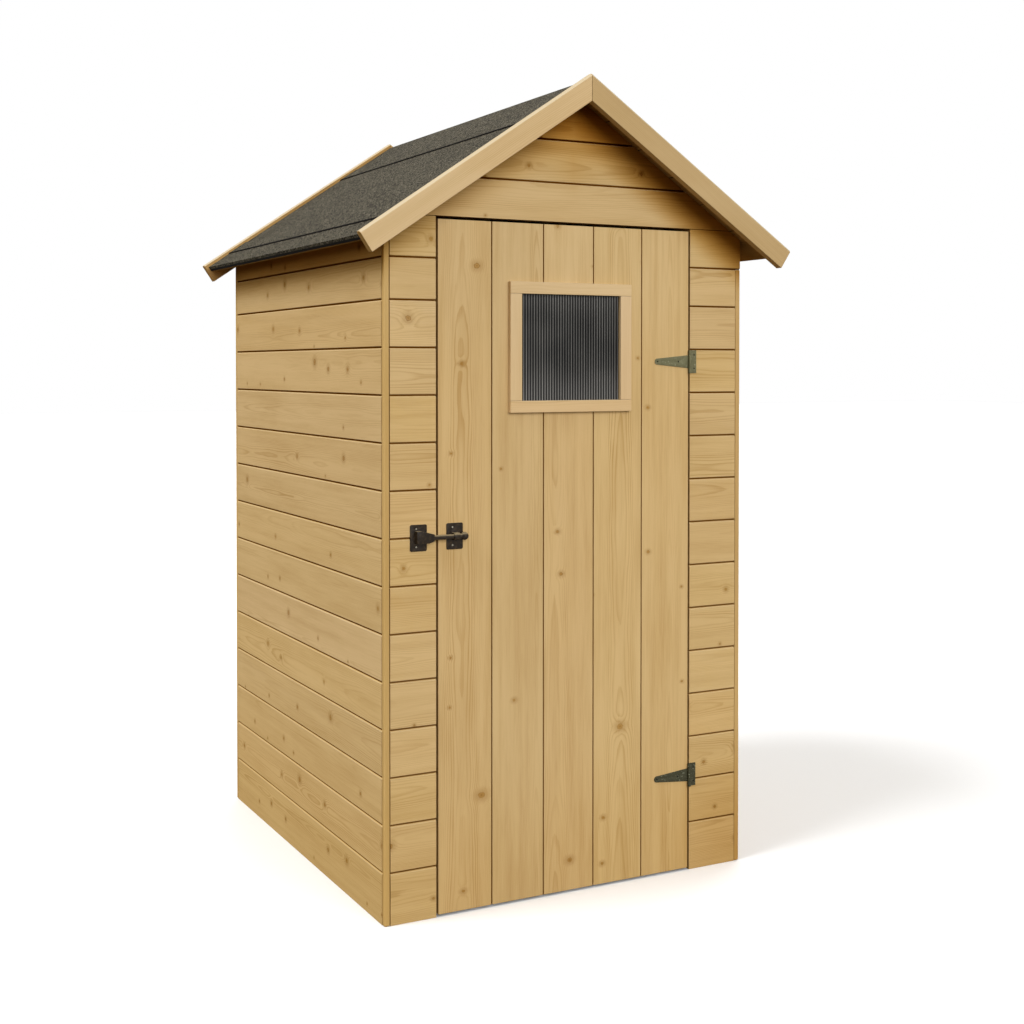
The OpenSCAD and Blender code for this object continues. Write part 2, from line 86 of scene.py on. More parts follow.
class Graph:
    """A short way to write the nodes of a material or a world."""

    def __init__(self, owner, output="OutputMaterial"):
        owner.use_nodes = True
        self.owner = owner
        self.tree = owner.node_tree
        self.tree.nodes.clear()
        self.out = self.tree.nodes.new("ShaderNode" + output)

    def node(self, kind, settings=None, **inputs):
        made = self.tree.nodes.new("ShaderNode" + kind)
        for key, value in (settings or {}).items():
            setattr(made, key, value)
        for key, value in inputs.items():
            self.plug(made.inputs[key.replace("_", " ")], value)
        return made

    def plug(self, socket, value):
        if isinstance(value, bpy.types.NodeSocket):
            self.tree.links.new(value, socket)
        elif socket.type == "RGBA" and len(value) == 3:
            socket.default_value = (*value, 1)
        else:
            socket.default_value = value

    def math(self, operation, *values, clamp=False):
        made = self.tree.nodes.new("ShaderNodeMath")
        made.operation, made.use_clamp = operation, clamp
        for socket, value in zip(made.inputs, values):
            self.plug(socket, value)
        return made.outputs[0]

    def add(self, first, *others):
        for other in others:
            first = self.math("ADD", first, other)
        return first

    def times(self, first, *others):
        for other in others:
            first = self.math("MULTIPLY", first, other)
        return first

    def minus(self, first, second):
        return self.math("SUBTRACT", first, second)

    def over(self, first, second):
        return self.math("DIVIDE", first, second)

    def line(self, value, rise, start):
        return self.math("MULTIPLY_ADD", value, rise, start)

    def share(self, value):
        """The value, kept between 0 and 1."""
        return self.math("MULTIPLY", value, 1.0, clamp=True)

    def window(self, value, low, high, out_low=0.0, out_high=1.0):
        """A soft step from out_low at low to out_high at high."""
        return self.node("MapRange", {"interpolation_type": "SMOOTHSTEP"}, Value=value, From_Min=low,
                         From_Max=high, To_Min=out_low, To_Max=out_high).outputs[0]

    def attribute(self, name, output="Fac"):
        return self.node("Attribute", {"attribute_name": name}).outputs[output]

    def position(self):
        return self.node("TexCoord").outputs["Object"]

    def normal(self):
        return self.xyz(self.node("NewGeometry").outputs["Normal"])

    def xyz(self, vector):
        return self.node("SeparateXYZ", Vector=vector).outputs

    def rgb(self, colour):
        return self.node("SeparateColor", Color=colour).outputs

    def vector(self, x, y, z):
        return self.node("CombineXYZ", X=x, Y=y, Z=z).outputs[0]

    def noise(self, vector, scale, detail, roughness, w=None):
        made = self.node("TexNoise", {"noise_dimensions": "3D" if w is None else "4D"}, Vector=vector,
                         Scale=scale, Detail=detail, Roughness=roughness)
        if w is not None:
            self.plug(made.inputs["W"], w)
        return made.outputs[0]

    def ramp(self, fac, *stops):
        made = self.node("ValToRGB", Fac=fac)
        elements = made.color_ramp.elements
        while len(elements) < len(stops):
            elements.new(0.5)
        for element, (place, colour) in zip(elements, stops):
            element.position = place
            element.color = (*colour, 1)
        return made.outputs[0]

    def mix(self, fac, a, b, blend="MIX"):
        made = self.tree.nodes.new("ShaderNodeMix")
        made.data_type, made.blend_type = "RGBA", blend
        factor, colour_a, colour_b = made.inputs[0], made.inputs[6], made.inputs[7]
        for socket, value in ((factor, fac), (colour_a, a), (colour_b, b)):
            self.plug(socket, value)
        return made.outputs[2]

    def finish(self, colour, roughness, height=None, bump=0.3, distance=MM, **sockets):
        """Closes the material: its surface, and the fine relief that the height draws."""
        shader = self.node("BsdfPrincipled", Base_Color=colour, Roughness=roughness, **sockets)
        if height is not None:
            normal = self.node("Bump", Strength=bump, Distance=distance, Height=height).outputs[0]
            self.plug(shader.inputs["Normal"], normal)
        self.plug(self.out.inputs["Surface"], shader.outputs[0])
        return self.owner


def srgb(red, green, blue):
    def linear(value):
        value /= 255
        return value / 12.92 if value <= 0.04045 else ((value + 0.055) / 1.055) ** 2.4
    return (linear(red), linear(green), linear(blue))


# ---------------------------------------------------------------- wood

KNOT_CELL = 0.12       # the length of board that may hold one knot
YEAR_RING = 2.6 * MM   # the wood that a tree lays on in a year


def stretched(g, grain, seed, along, across, detail=2, roughness=0.5):
    """Noise drawn out along the board, with its scale along and across the grain."""
    u, v, w = g.xyz(grain)
    place = g.vector(g.times(u, along), g.times(v, across), g.times(w, across))
    return g.noise(place, 1.0, detail, roughness, seed)


def knot_field(g, grain, seed, share, spike):
    """The nearest knot: how many radii off it lies, its radius, whether it is there, and how dark its rim is.
    Along the board's middle, the given share of the cells holds one. A low spike draws it out across."""
    u = g.xyz(grain)[0]
    place = g.vector(g.add(g.over(u, KNOT_CELL), g.times(seed, 3.7)),
                     g.line(g.attribute("row"), spike / KNOT_CELL, 0.5), 0.0)
    cells = g.node("TexVoronoi", {"voronoi_dimensions": "2D", "feature": "F1"}, Vector=place, Scale=1.0,
                   Randomness=0.75).outputs
    chance, size, darkness = g.rgb(cells["Color"])
    # most knots are small, the largest are 9 mm in radius, and their outlines are uneven
    radius = g.line(g.math("POWER", size, 1.6), 6.2 * MM, 2.8 * MM)
    wobble = g.times(g.minus(g.noise(grain, 190, 3, 0.6, seed), 0.5), 7 * MM)
    reach = g.add(g.times(cells["Distance"], KNOT_CELL), wobble)
    return g.over(reach, radius), radius, g.math("LESS_THAN", chance, share), darkness


def late_wood(g, grain, seed, bulge):
    """The dark half of each year's ring: rings round the pith, drawn out along the board and bent by the
    bulge round each knot, strong in some years and faint in others."""
    u, v, w = g.xyz(grain)
    pith = g.math("SQRT", g.add(g.times(v, v), g.times(w, w)))
    drift = g.minus(stretched(g, grain, seed, 1.3, 5.0, detail=3), 0.5)
    ragged = g.minus(stretched(g, grain, seed, 9.0, 160.0), 0.5)
    ring = g.add(pith, g.times(u, 0.006), g.times(drift, 30 * MM), bulge, g.times(ragged, 1.1 * MM))
    year = g.math("FRACT", g.over(ring, YEAR_RING))
    late = g.times(g.window(year, 0.45, 0.88), g.window(year, 1.0, 0.93))
    years = g.noise(g.vector(g.times(ring, 75.0), g.times(u, 0.8), 0.0), 1.0, 2, 0.6, seed)
    return g.times(late, g.line(g.window(years, 0.38, 0.72), 0.85, 0.15))


def draw_knots(g, colour, dark, off, present, darkness):
    """A warm halo round each knot, its core with rings of its own, and its dark rim and heart."""
    halo = g.times(g.window(off, 3.4, 0.6), present, 0.42)
    colour = g.mix(halo, colour, tuple(k * c for k, c in zip((0.8, 0.74, 0.66), dark)))
    rings = g.math("SINE", g.times(off, 15.0))
    core = g.times(g.window(off, 1.0, 0.8), present, 0.7)
    colour = g.mix(core, colour, g.mix(g.line(rings, 0.14, 0.4), srgb(178, 138, 78), srgb(150, 106, 52)))
    rim = g.times(g.window(off, 0.6, 0.86), g.window(off, 1.1, 0.9), present, darkness, 0.5)
    heart = g.times(g.window(off, 0.6, 0.1), present, 0.3)
    return g.mix(g.math("MAXIMUM", rim, heart), colour, srgb(100, 64, 28)), rim


def board_tone(g, colour, seed):
    """Each board's own tone."""
    tone = g.node("TexWhiteNoise", {"noise_dimensions": "1D"}, W=seed).outputs
    _, saturation, value = g.rgb(tone["Color"])
    return g.node("HueSaturation", Color=colour, Hue=g.line(tone["Value"], 0.003, 0.4985),
                  Saturation=g.line(saturation, 0.08, 0.96), Value=g.line(value, 0.06, 0.97)).outputs[0]


def seam_dirt_and_shade(g, depth, up, fade):
    """How dark the seam is, partly stained and partly painted shade: deep in a joint, from further down on
    the flank that looks up, little on a board's free edges, and not on the wall's back. Down the wall it
    fades by the share given."""
    # the flank that looks up takes the painted shade only further down
    lit_flank_offset = g.window(up, 0.15, 0.5, 0.0, 1.7 * MM)
    dirt_and_shade = g.times(g.window(g.minus(depth, lit_flank_offset), 0.5 * MM, 2.0 * MM), g.window(depth, 15.6 * MM, 14.0 * MM))
    dirt_and_shade = g.times(dirt_and_shade, g.line(g.attribute("edge"), -0.75, 1.0))
    if fade:
        height = g.xyz(g.position())[2]
        dirt_and_shade = g.times(dirt_and_shade, g.window(height, GABLE_FOOT - 0.17, 0.4, 1.0, 1.0 - fade))
    return g.times(dirt_and_shade, 0.96)


def painted_shade(g, colour, up, deepen):
    """Painted shade, which darkens and warms the wood's colour: close under the roof, more so where
    both slopes are near, less so on the sunny half of the front, and a little towards the ground."""
    x, _, z = g.xyz(g.position())
    front = g.window(g.normal()[1], -0.5, -0.9)
    # how far the nearer and the farther slope of the roof lie from here
    lean = g.times(g.math("ABSOLUTE", x), OUT.x)
    near = g.minus(g.line(z, -OUT.z, UNDERSIDE), lean)
    far = g.line(lean, 2.0, near)
    # painted shade: the nearer the roof's slopes, the darker
    roof = g.add(g.window(near, 0.13, 0.01, 0.0, deepen), g.window(far, 0.24, 0.05, 0.0, 0.75 * deepen))
    sunny = g.times(front, g.window(x, 0.35, -0.3, -0.35, 0.5))
    shade = g.times(roof, g.window(up, 0.45, 0.15), g.minus(1.0, sunny))
    # painted light: the front is paler in a band round the gable's foot; near the ground all is darker, most
    # at the right
    painted_light_band = g.times(front, g.window(z, GABLE_FOOT - 0.417, GABLE_FOOT - 0.167),
                       g.window(z, GABLE_FOOT + 0.123, GABLE_FOOT + 0.083), g.window(x, 0.5, 0.2), 0.07)
    low_darkening = g.times(g.window(z, 0.45, 0.02, 0.0, 0.1), g.window(x, 0.2, 0.5, 1.0, 3.0))
    shade = g.add(g.minus(shade, painted_light_band), low_darkening)
    # the painted shade tints the wood warmer and, through the gamma, darker and deeper in colour
    shade_tint = g.mix(g.share(shade), colour, (1, 0.91, 0.67), "MULTIPLY")
    return g.node("Gamma", Color=shade_tint, Gamma=g.line(shade, 0.9, 1.0)).outputs[0]


def pine(name, light, dark, knots=0.0, contrast=1.0, roughness=0.6, deepen=0.78, spike=0.85,
         seam=srgb(90, 52, 12), fade=0.0):
    """Planed pine. The grain attribute runs along, across and into the board, from its pith; depth tells how
    far a point lies under the board's face."""
    g = Graph(bpy.data.materials.new(name))
    grain = g.attribute("grain", "Vector")
    seed = g.attribute("seed")
    off, radius, present, darkness = knot_field(g, grain, seed, knots, spike)
    bulge = g.math("EXPONENT", g.times(g.math("POWER", g.over(off, 3.0), 2.0), -1.0))
    late = late_wood(g, grain, seed, g.times(bulge, present, radius, 0.7))
    fibre = stretched(g, grain, seed, 14.0, 900.0, roughness=0.6)
    streak = stretched(g, grain, seed, 2.2, 42.0)
    cloud = stretched(g, grain, seed, 3.0, 14.0)
    tint = g.add(g.line(late, 0.6 * contrast, 0.1), g.times(g.minus(fibre, 0.5), 0.8 * contrast),
                 g.times(g.minus(streak, 0.5), 0.8 * contrast), g.times(g.minus(cloud, 0.5), 0.7 * contrast))
    colour = g.mix(g.share(tint), light, dark)
    colour, rim = draw_knots(g, colour, dark, off, present, darkness)
    # painted highlight: the chamfers that look up are paler, the more so near the board's face
    depth = g.attribute("depth")
    up = g.normal()[2]
    proud = g.window(depth, 1.2 * MM, 0.2 * MM)
    pale = g.times(g.window(up, 0.25, 0.6), g.line(proud, 0.45, 0.35))
    colour = g.mix(pale, colour, g.mix(proud, srgb(216, 184, 122), srgb(196, 181, 152)))
    colour = board_tone(g, colour, seed)
    # the seams darken, partly stained and partly with painted shade
    colour = g.mix(seam_dirt_and_shade(g, depth, up, fade), colour, seam)
    # painted shade under the roof, and the painted light band on the front
    colour = painted_shade(g, colour, g.times(up, proud), deepen)
    height = g.minus(g.add(g.times(late, 0.5), g.times(fibre, 0.45)), g.times(rim, 0.8))
    return g.finish(colour, g.line(late, -0.08, roughness), height, bump=0.18, distance=0.4 * MM,
                    Specular_IOR_Level=0.0)


# ---------------------------------------------------------------- felt, metal and plastic

def mineral_felt():
    """Fine grey-brown granules pressed into bitumen; along the eave's lower edge it is black, partly the
    bitumen showing and partly painted shade.
    """
    g = Graph(bpy.data.materials.new("mineral_felt"))
    place = g.position()
    grit = g.node("TexVoronoi", {"feature": "F1"}, Vector=place, Scale=330, Randomness=1.0).outputs
    patch = g.noise(place, 9, 4, 0.6)
    lumps = g.noise(place, 120, 3, 0.6)
    tone = g.add(g.times(g.rgb(grit["Color"])[0], 0.6), g.times(patch, 0.15), g.times(lumps, 0.25))
    colour = g.ramp(tone, (0.1, srgb(12, 11, 8)), (0.5, srgb(54, 50, 41)), (0.95, srgb(134, 126, 106)))
    # black along the eave's lower edge: partly the bitumen showing, partly painted shade
    bare_and_shade = g.window(g.xyz(place)[2], EAVE + 7 * MM, EAVE + 4 * MM)
    colour = g.mix(bare_and_shade, colour, srgb(14, 12, 10))
    relief = g.minus(g.times(lumps, 0.4), grit["Distance"])
    return g.finish(colour, 0.92, relief, bump=0.5, distance=0.6 * MM, Specular_IOR_Level=0.03)


def bitumen():
    """The felt's cut edge and the black seam that shows at each lap."""
    g = Graph(bpy.data.materials.new("bitumen"))
    lumps = g.noise(g.position(), 180, 3, 0.6)
    colour = g.mix(lumps, srgb(6, 6, 5), srgb(24, 21, 18))
    return g.finish(colour, 0.9, lumps, bump=0.4, distance=0.8 * MM, Specular_IOR_Level=0.02)


def zinc(name, light, dark, roughness):
    """Passivated zinc plate: a mottled green-grey, with a few pale worn spots."""
    g = Graph(bpy.data.materials.new(name))
    place = g.position()
    bloom = g.noise(place, 70, 4, 0.6)
    speck = g.noise(place, 900, 2, 0.5)
    worn = g.window(g.noise(place, 230, 3, 0.6), 0.58, 0.72, 0.0, 0.5)
    colour = g.mix(g.add(g.times(bloom, 0.75), g.times(speck, 0.25)), light, dark)
    colour = g.mix(worn, colour, srgb(176, 176, 150))
    return g.finish(colour, g.line(bloom, 0.25, roughness), speck, bump=0.15, distance=0.2 * MM,
                    Metallic=0.35, Specular_IOR_Level=0.25)


def black_iron():
    """Cast iron under a thin black finish, with a hammered skin and a painted highlight on the faces that
    look up.
    """
    g = Graph(bpy.data.materials.new("black_iron"))
    place = g.position()
    lumps = g.noise(place, 160, 3, 0.55)
    fine = g.noise(place, 900, 2, 0.5)
    colour = g.ramp(lumps, (0.3, srgb(22, 16, 10)), (0.6, srgb(44, 34, 22)), (0.8, srgb(72, 57, 38)))
    # painted highlight on the faces that look up, broken by fine noise
    top_highlight = g.times(g.window(g.normal()[2], 0.3, 0.75), g.window(fine, 0.35, 0.6, 0.35, 0.95))
    colour = g.mix(top_highlight, colour, srgb(150, 134, 104))
    return g.finish(colour, g.line(fine, 0.25, 0.25), g.add(lumps, g.times(fine, 0.25)), bump=0.3,
                    distance=0.5 * MM, Specular_IOR_Level=0.12)


def steel(name, dark, light):
    """The screws' dull or bright steel."""
    g = Graph(bpy.data.materials.new(name))
    mottle = g.noise(g.position(), 600, 3, 0.6)
    return g.finish(g.mix(mottle, dark, light), g.line(mottle, 0.3, 0.35), mottle, bump=0.2,
                    distance=0.2 * MM, Metallic=0.5, Specular_IOR_Level=0.1)


def twin_wall_sheet():
    """Twin-wall sheet: dark cells, painted shade of the dark inside seen through it, between pale upright
    webs with painted light in them; paler towards its foot and head."""
    g = Graph(bpy.data.materials.new("twin_wall_sheet"))
    place = g.position()
    low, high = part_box("window_pane")
    cloud = g.noise(place, 5.5, 2, 0.5)
    streak = g.noise(g.node("Mapping", Vector=place, Scale=(130, 130, 2.5)).outputs[0], 1.0, 1, 0.5)
    # the cells' darkness is painted shade of the inside seen through the sheet
    cell = g.mix(g.window(cloud, 0.35, 0.65), srgb(4, 4, 4), srgb(28, 27, 25))
    # the webs' paleness is painted light caught in them
    web = g.mix(g.times(streak, g.window(cloud, 0.2, 0.75, 0.5, 1.2)), srgb(60, 59, 56), srgb(150, 148, 143))
    height = g.xyz(place)[2]
    # paler towards the sheet's foot and head
    paler_ends = g.math("MAXIMUM", g.window(height, low.z + 0.11, low.z + 0.01),
                  g.window(height, high.z - 0.06, high.z, 0, 0.5))
    paler_ends = g.times(paler_ends, 0.4)
    cell = g.mix(paler_ends, cell, srgb(58, 56, 55))
    web = g.mix(paler_ends, web, srgb(176, 174, 170))
    return g.finish(g.mix(g.attribute("web"), cell, web), 0.3, Specular_IOR_Level=0.08)


# ---------------------------------------------------------------- meshes

def cad_mesh(node):
    """The CAD node's mesh, welded, with its flat faces whole."""
    bm = bmesh.new()
    bm.from_mesh(frame["nodes"][node].data)
    bmesh.ops.remove_doubles(bm, verts=bm.verts, dist=0.01 * MM)
    bmesh.ops.dissolve_limit(bm, angle_limit=math.radians(0.5), verts=bm.verts, edges=bm.edges)
    return bm


def islands(bm):
    """The loose parts of a mesh, each as a mesh of its own, in a fixed order."""
    remaining, parts = set(bm.verts), []
    for start in bm.verts:
        if start not in remaining:
            continue
        group, todo = set(), [start]
        while todo:
            vert = todo.pop()
            if vert not in group:
                group.add(vert)
                todo += [edge.other_vert(vert) for edge in vert.link_edges]
        remaining -= group
        part = bmesh.new()
        twin = {v: part.verts.new(v.co) for v in bm.verts if v in group}
        for face in bm.faces:
            if face.verts[0] in group:
                part.faces.new([twin[v] for v in face.verts])
        parts.append(part)
    return parts


def cut(bm, point, normal):
    """Cuts away what lies beyond the plane, and closes the cut."""
    geometry = list(bm.verts) + list(bm.edges) + list(bm.faces)
    done = bmesh.ops.bisect_plane(bm, geom=geometry, dist=1e-7, plane_co=point, plane_no=normal,
                                  clear_outer=True)
    rim = [e for e in done["geom_cut"] if isinstance(e, bmesh.types.BMEdge) and e.is_boundary]
    if rim:
        bmesh.ops.edgeloop_fill(bm, edges=rim)
    bmesh.ops.recalc_face_normals(bm, faces=bm.faces)


def direction(edge):
    return (edge.verts[0].co - edge.verts[1].co).normalized()


def soften(bm, width, segments=2, above=25, keep=None):
    """Rounds the edges that turn by more degrees than above, or those of them that keep picks."""
    edges = [e for e in bm.edges if len(e.link_faces) == 2
             and e.calc_face_angle(0) > math.radians(above) and (keep is None or keep(e))]
    if edges:
        bmesh.ops.bevel(bm, geom=edges, offset=width, offset_type="OFFSET", segments=segments, profile=0.5,
                        affect="EDGES", clamp_overlap=True)


def box_mesh(low, high):
    bm = bmesh.new()
    bmesh.ops.create_cube(bm, size=1)
    for v in bm.verts:
        v.co = Vector(low[i] if v.co[i] < 0 else high[i] for i in range(3))
    return bm


def bridge(bm, lower, upper):
    """Faces between two closed rows of as many points."""
    for k in range(len(lower)):
        after = (k + 1) % len(lower)
        bm.faces.new([lower[k], lower[after], upper[after], upper[k]])


JOINT_REACH = 7 * MM   # a board's faces nearer to a joint than this belong to the joint


class Boards:
    """Gathers boards into one mesh, each with its own grain."""

    def __init__(self):
        self.verts, self.faces = [], []
        self.grain, self.row, self.seed, self.depth, self.edge = [], [], [], [], []

    def add(self, bm, along, across, depth=None, joints=()):
        """depth tells how far a point lies under the faces that meet the eye; joints, where boards adjoin."""
        into = along.cross(across)
        middle = sum((v.co for v in bm.verts), Vector()) / len(bm.verts)
        # the board's place in its tree, and the seed of its noises
        pith_across, pith_into = draw.uniform(-0.045, 0.045), draw.uniform(0.018, 0.085)
        end = draw.uniform(-2, 2)
        seed = draw.uniform(0, 60)
        start = len(self.verts)
        bm.verts.index_update()
        for v in bm.verts:
            p = v.co - middle
            self.verts.append(tuple(v.co))
            self.grain += [p.dot(along) + end, p.dot(across) + pith_across, p.dot(into) + pith_into]
            self.row.append(p.dot(across))
            self.seed.append(seed)
            self.depth.append(depth(v.co) if depth else 0.0)
        bm.normal_update()
        for f in bm.faces:
            self.faces.append(tuple(start + v.index for v in f.verts))
            where = f.calc_center_median().dot(across)
            free = all(abs(where - joint) > JOINT_REACH for joint in joints)
            self.edge.append(float(free and abs(f.normal.dot(into)) < 0.5))
        bm.free()

    def make(self, name, material, node):
        mesh = bpy.data.meshes.new(name)
        mesh.from_pydata(self.verts, [], self.faces)
        mesh.attributes.new("grain", "FLOAT_VECTOR", "POINT").data.foreach_set("vector", self.grain)
        for key, values, domain in (("row", self.row, "POINT"), ("seed", self.seed, "POINT"),
                                    ("depth", self.depth, "POINT"), ("edge", self.edge, "FACE")):
            mesh.attributes.new(key, "FLOAT", domain).data.foreach_set("value", values)
        return add_piece(mesh, name, material, node)


def add_piece(mesh, name, material, node, replace=True):
    """Puts a mesh in the scene as a piece that rides with its CAD node, and mostly stands for it."""
    mesh.validate()
    mesh.update()
    mesh.materials.append(material)
    piece = bpy.data.objects.new(name, mesh)
    bpy.context.scene.collection.objects.link(piece)
    if replace:
        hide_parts(node)
    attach(piece, BODY[node])
    return piece


def from_bmesh(bm, name, material, node, replace=True, smooth=None):
    """Edges that turn by fewer degrees than smooth are shaded smooth."""
    mesh = bpy.data.meshes.new(name)
    bm.to_mesh(mesh)
    bm.free()
    if smooth is not None:
        mesh.shade_smooth()
        mesh.set_sharp_from_angle(angle=math.radians(smooth))
    return add_piece(mesh, name, material, node, replace)


# ---------------------------------------------------------------- boards

GAP = 0.8 * MM           # between two boards, under the V of their joint
TONGUE_TOP = 6.5 * MM    # how deep in the joint the tongue shows
TONGUE_FOOT = 11 * MM    # and how deep in the wall it ends
TONGUE_SHORT = 2 * MM    # how much shorter than its board it is at each end


def joint_places(bm, depth, across):
    """Where the V-joints lie, read off the bottoms of their grooves."""
    depths = sorted({round(depth(v.co), 5) for v in bm.verts})
    # they lie well under the face and well clear of the wall's back
    grooves = [d for d in depths if depths[0] + 1.5 * MM < d < depths[-1] - 6 * MM]
    if not grooves:
        return []
    bottom = max(grooves)
    joints = []
    for where in sorted(round(v.co.dot(across), 5) for v in bm.verts
                        if abs(depth(v.co) - bottom) < SAME):
        if not joints or where - joints[-1] > 2 * MM:
            joints.append(where)
    return joints


def tongues(whole, joint, along, across, face, front):
    """What closes a joint behind the gap, one strip for each run of it."""
    ends = sorted(v.co.dot(along) for v in whole.verts if abs(v.co.dot(across) - joint) < SAME)
    for first, last in zip(ends[::2], ends[1::2]):
        a = along * (first + TONGUE_SHORT) + across * (joint - GAP) + face * (front - TONGUE_FOOT)
        b = along * (last - TONGUE_SHORT) + across * (joint + GAP) + face * (front - TONGUE_TOP)
        yield box_mesh(tuple(map(min, a, b)), tuple(map(max, a, b)))


def board_wall(node, material, along, across, face, edge=0.9, tongue=True, meets=None):
    """Cuts a wall at its joints into boards. face is the direction that its outer side looks in; meets, the
    place across where another wall's boards go on."""
    whole = cad_mesh(node)
    front = max(v.co.dot(face) for v in whole.verts)
    end = max(v.co.dot(across) for v in whole.verts)

    def depth(point):
        return front - point.dot(face)

    joints = joint_places(whole, depth, across)
    adjoining = joints if meets is None else [*joints, meets]
    boards = Boards()
    for low, high in zip([None, *joints], [*joints, None]):
        part = whole.copy()
        if high is None and meets is not None and meets > end - MM:
            # the last board stops short of the next wall's first, so that a joint shows between them
            cut(part, across * (end - 2 * GAP), across)
        if low is not None:
            cut(part, across * (low + GAP / 2), -across)
        if high is not None:
            cut(part, across * (high - GAP / 2), across)
        for board in islands(part):
            soften(board, edge * MM)
            boards.add(board, along, across, depth, adjoining)
        part.free()
    if tongue:
        for joint in joints:
            for strip in tongues(whole, joint, along, across, face, front):
                boards.add(strip, along, across, lambda point: TONGUE_TOP)
    whole.free()
    return boards.make(node + "_boards", material, node)


def roof_boarding(side, material):
    down, out = slope(side)
    node = "roof_boards_left" if side < 0 else "roof_boards_right"
    return board_wall(node, material, Y, down, -out, edge=0.8, tongue=False)


def timber(node, material, edge=1.5):
    """Sawn battens and posts: each solid of the node, rounded at its edges, with grain along its length."""
    whole = cad_mesh(node)
    boards = Boards()
    for piece in islands(whole):
        size = [max(v.co[i] for v in piece.verts) - min(v.co[i] for v in piece.verts) for i in range(3)]
        longest_first = sorted(range(3), key=lambda i: -size[i])
        along, across = ((X, Y, Z)[i] for i in longest_first[:2])
        soften(piece, edge * MM)
        boards.add(piece, along, across)
    whole.free()
    return boards.make(node + "_timber", material, node)


def corner_strip(node, material):
    """A strip that stands a little clear of the boards on both sides of its corner."""
    strip = cad_mesh(node)
    low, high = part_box(node)
    clear = 1.6 * MM
    for axis, start, end in ((X, low.x, high.x), (Y, low.y, high.y)):
        normal, reach = (axis, end) if start < 0 else (-axis, -start)
        cut(strip, normal * (reach - clear), normal)
    soften(strip, 2.4 * MM, 3)
    boards = Boards()
    boards.add(strip, Z, X)
    return boards.make(node + "_batten", material, node)


def bargeboard(node, material, shaded, chamfer):
    """A bargeboard with a chamfer along its top; its sawn ends, dark as end grain and with painted shade, and
    its inward side, with painted shade, take a darker copy of the wood.
    """
    whole = cad_mesh(node)
    low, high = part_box(node)
    side = -1 if low.x < -0.1 else 1
    down, out = slope(side)
    mitre_gap = 0.4 * MM
    cut(whole, X * side * mitre_gap, -X * side)
    top = max(v.co.dot(out) for v in whole.verts)

    def along_the_top(edge):
        return min(v.co.dot(out) for v in edge.verts) > top - MM and abs(direction(edge).dot(down)) > 0.99

    def in_the_mitre(point):
        """The mitre's faces are as dark as the bottom of a joint."""
        return 3 * MM if abs(point.x) < mitre_gap + SAME else 0.0

    soften(whole, chamfer * MM, 1, keep=along_the_top)
    soften(whole, 1.3 * MM, 2, above=50)
    boards = Boards()
    boards.add(whole, down, down.cross(Y), in_the_mitre)
    board = boards.make(node + "_board", material, node)
    board.data.materials.append(shaded)
    inward = Y if high.y < 0 else -Y
    # painted shade: the sawn ends and the inward side take the darker copy of the wood
    for polygon in board.data.polygons:
        if polygon.normal.dot(down) > 0.9 or polygon.normal.dot(inward) > 0.9:
            polygon.material_index = 1
    return board


# ---------------------------------------------------------------- roofing felt

def felt_sheet(node, material, cut_material):
    """A strip of felt with cut edges of black bitumen, which turns down softly at the eave."""
    bm = cad_mesh(node)

    def turned_down(edge):
        """The edge between the top and the lip at the eave."""
        rise = [face.normal.z for face in edge.link_faces]
        return (edge.calc_face_angle(0) > math.radians(40) and max(rise) > 0.7 and min(rise) > -0.1
                and abs(direction(edge).y) > 0.99)

    if "eave" in node:
        soften(bm, 7 * MM, 4, keep=turned_down)
    piece = from_bmesh(bm, node + "_sheet", material, node)
    piece.data.materials.append(cut_material)
    for polygon in piece.data.polygons:
        granules = polygon.normal.z > 0.25 or abs(polygon.normal.x) > 0.7
        polygon.material_index = 0 if granules else 1
    return piece


def felt_seam(node, material, width=7, height=2.6):
    """The bead of bitumen along the lower edge of a course, on both slopes where the node has both."""
    bm = bmesh.new()
    low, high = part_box(node)
    steps = 96
    for side in (-1, 1):
        if side < 0 and low.x >= 0 or side > 0 and high.x <= 0:
            continue
        down, out = slope(side)
        points = [v.co for v in frame["nodes"][node].data.vertices if v.co.x * side > 0]
        reach = max(p.dot(down) for p in points)
        floor = min(p.dot(out) for p in points if abs(p.dot(down) - reach) < SAME)
        rows = []
        for i in range(steps + 1):
            y = low.y + (high.y - low.y) * i / steps
            # the bead is now wider and now narrower on its way; its profile is in mm down and over the slope
            spread = width * (1 + 0.25 * math.sin(i * 1.7) * math.sin(i * 0.37 + 1))
            profile = [(0, 0), (0, height * 0.9), (spread * 0.4, height), (spread * 0.85, height * 0.5),
                       (spread, 0)]
            rows.append([bm.verts.new(down * (reach + s * MM) + out * (floor + h * MM) + Y * y)
                         for s, h in profile])
        for before, after in zip(rows, rows[1:]):
            bridge(bm, before, after)
        bm.faces.new(rows[0])
        bm.faces.new(list(reversed(rows[-1])))
    bmesh.ops.recalc_face_normals(bm, faces=bm.faces)
    return from_bmesh(bm, node + "_seam", material, node, replace=False, smooth=40)


# ---------------------------------------------------------------- window

def window_frame(material):
    """Level strips run through, and the upright ones stand between them."""
    node = "window_frame"
    low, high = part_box(node)
    points = [v.co for v in frame["nodes"][node].data.vertices]
    left, light_left, light_right, right = sorted({round(p.x, 5) for p in points})
    foot, light_foot, light_head, head = sorted({round(p.z, 5) for p in points})
    slit = 0.15 * MM
    set_back = 0.2 * MM
    boards = Boards()
    for z0, z1 in ((foot, light_foot - slit), (light_head + slit, head)):
        strip = box_mesh((left, low.y, z0), (right, high.y, z1))
        soften(strip, 1.1 * MM, 3)
        boards.add(strip, X, Z)
    for x0, x1 in ((left, light_left), (light_right, right)):
        strip = box_mesh((x0, low.y + set_back, light_foot + slit), (x1, high.y, light_head - slit))
        soften(strip, 1.1 * MM, 3)
        boards.add(strip, Z, X)
    return boards.make("window_frame_strips", material, node)


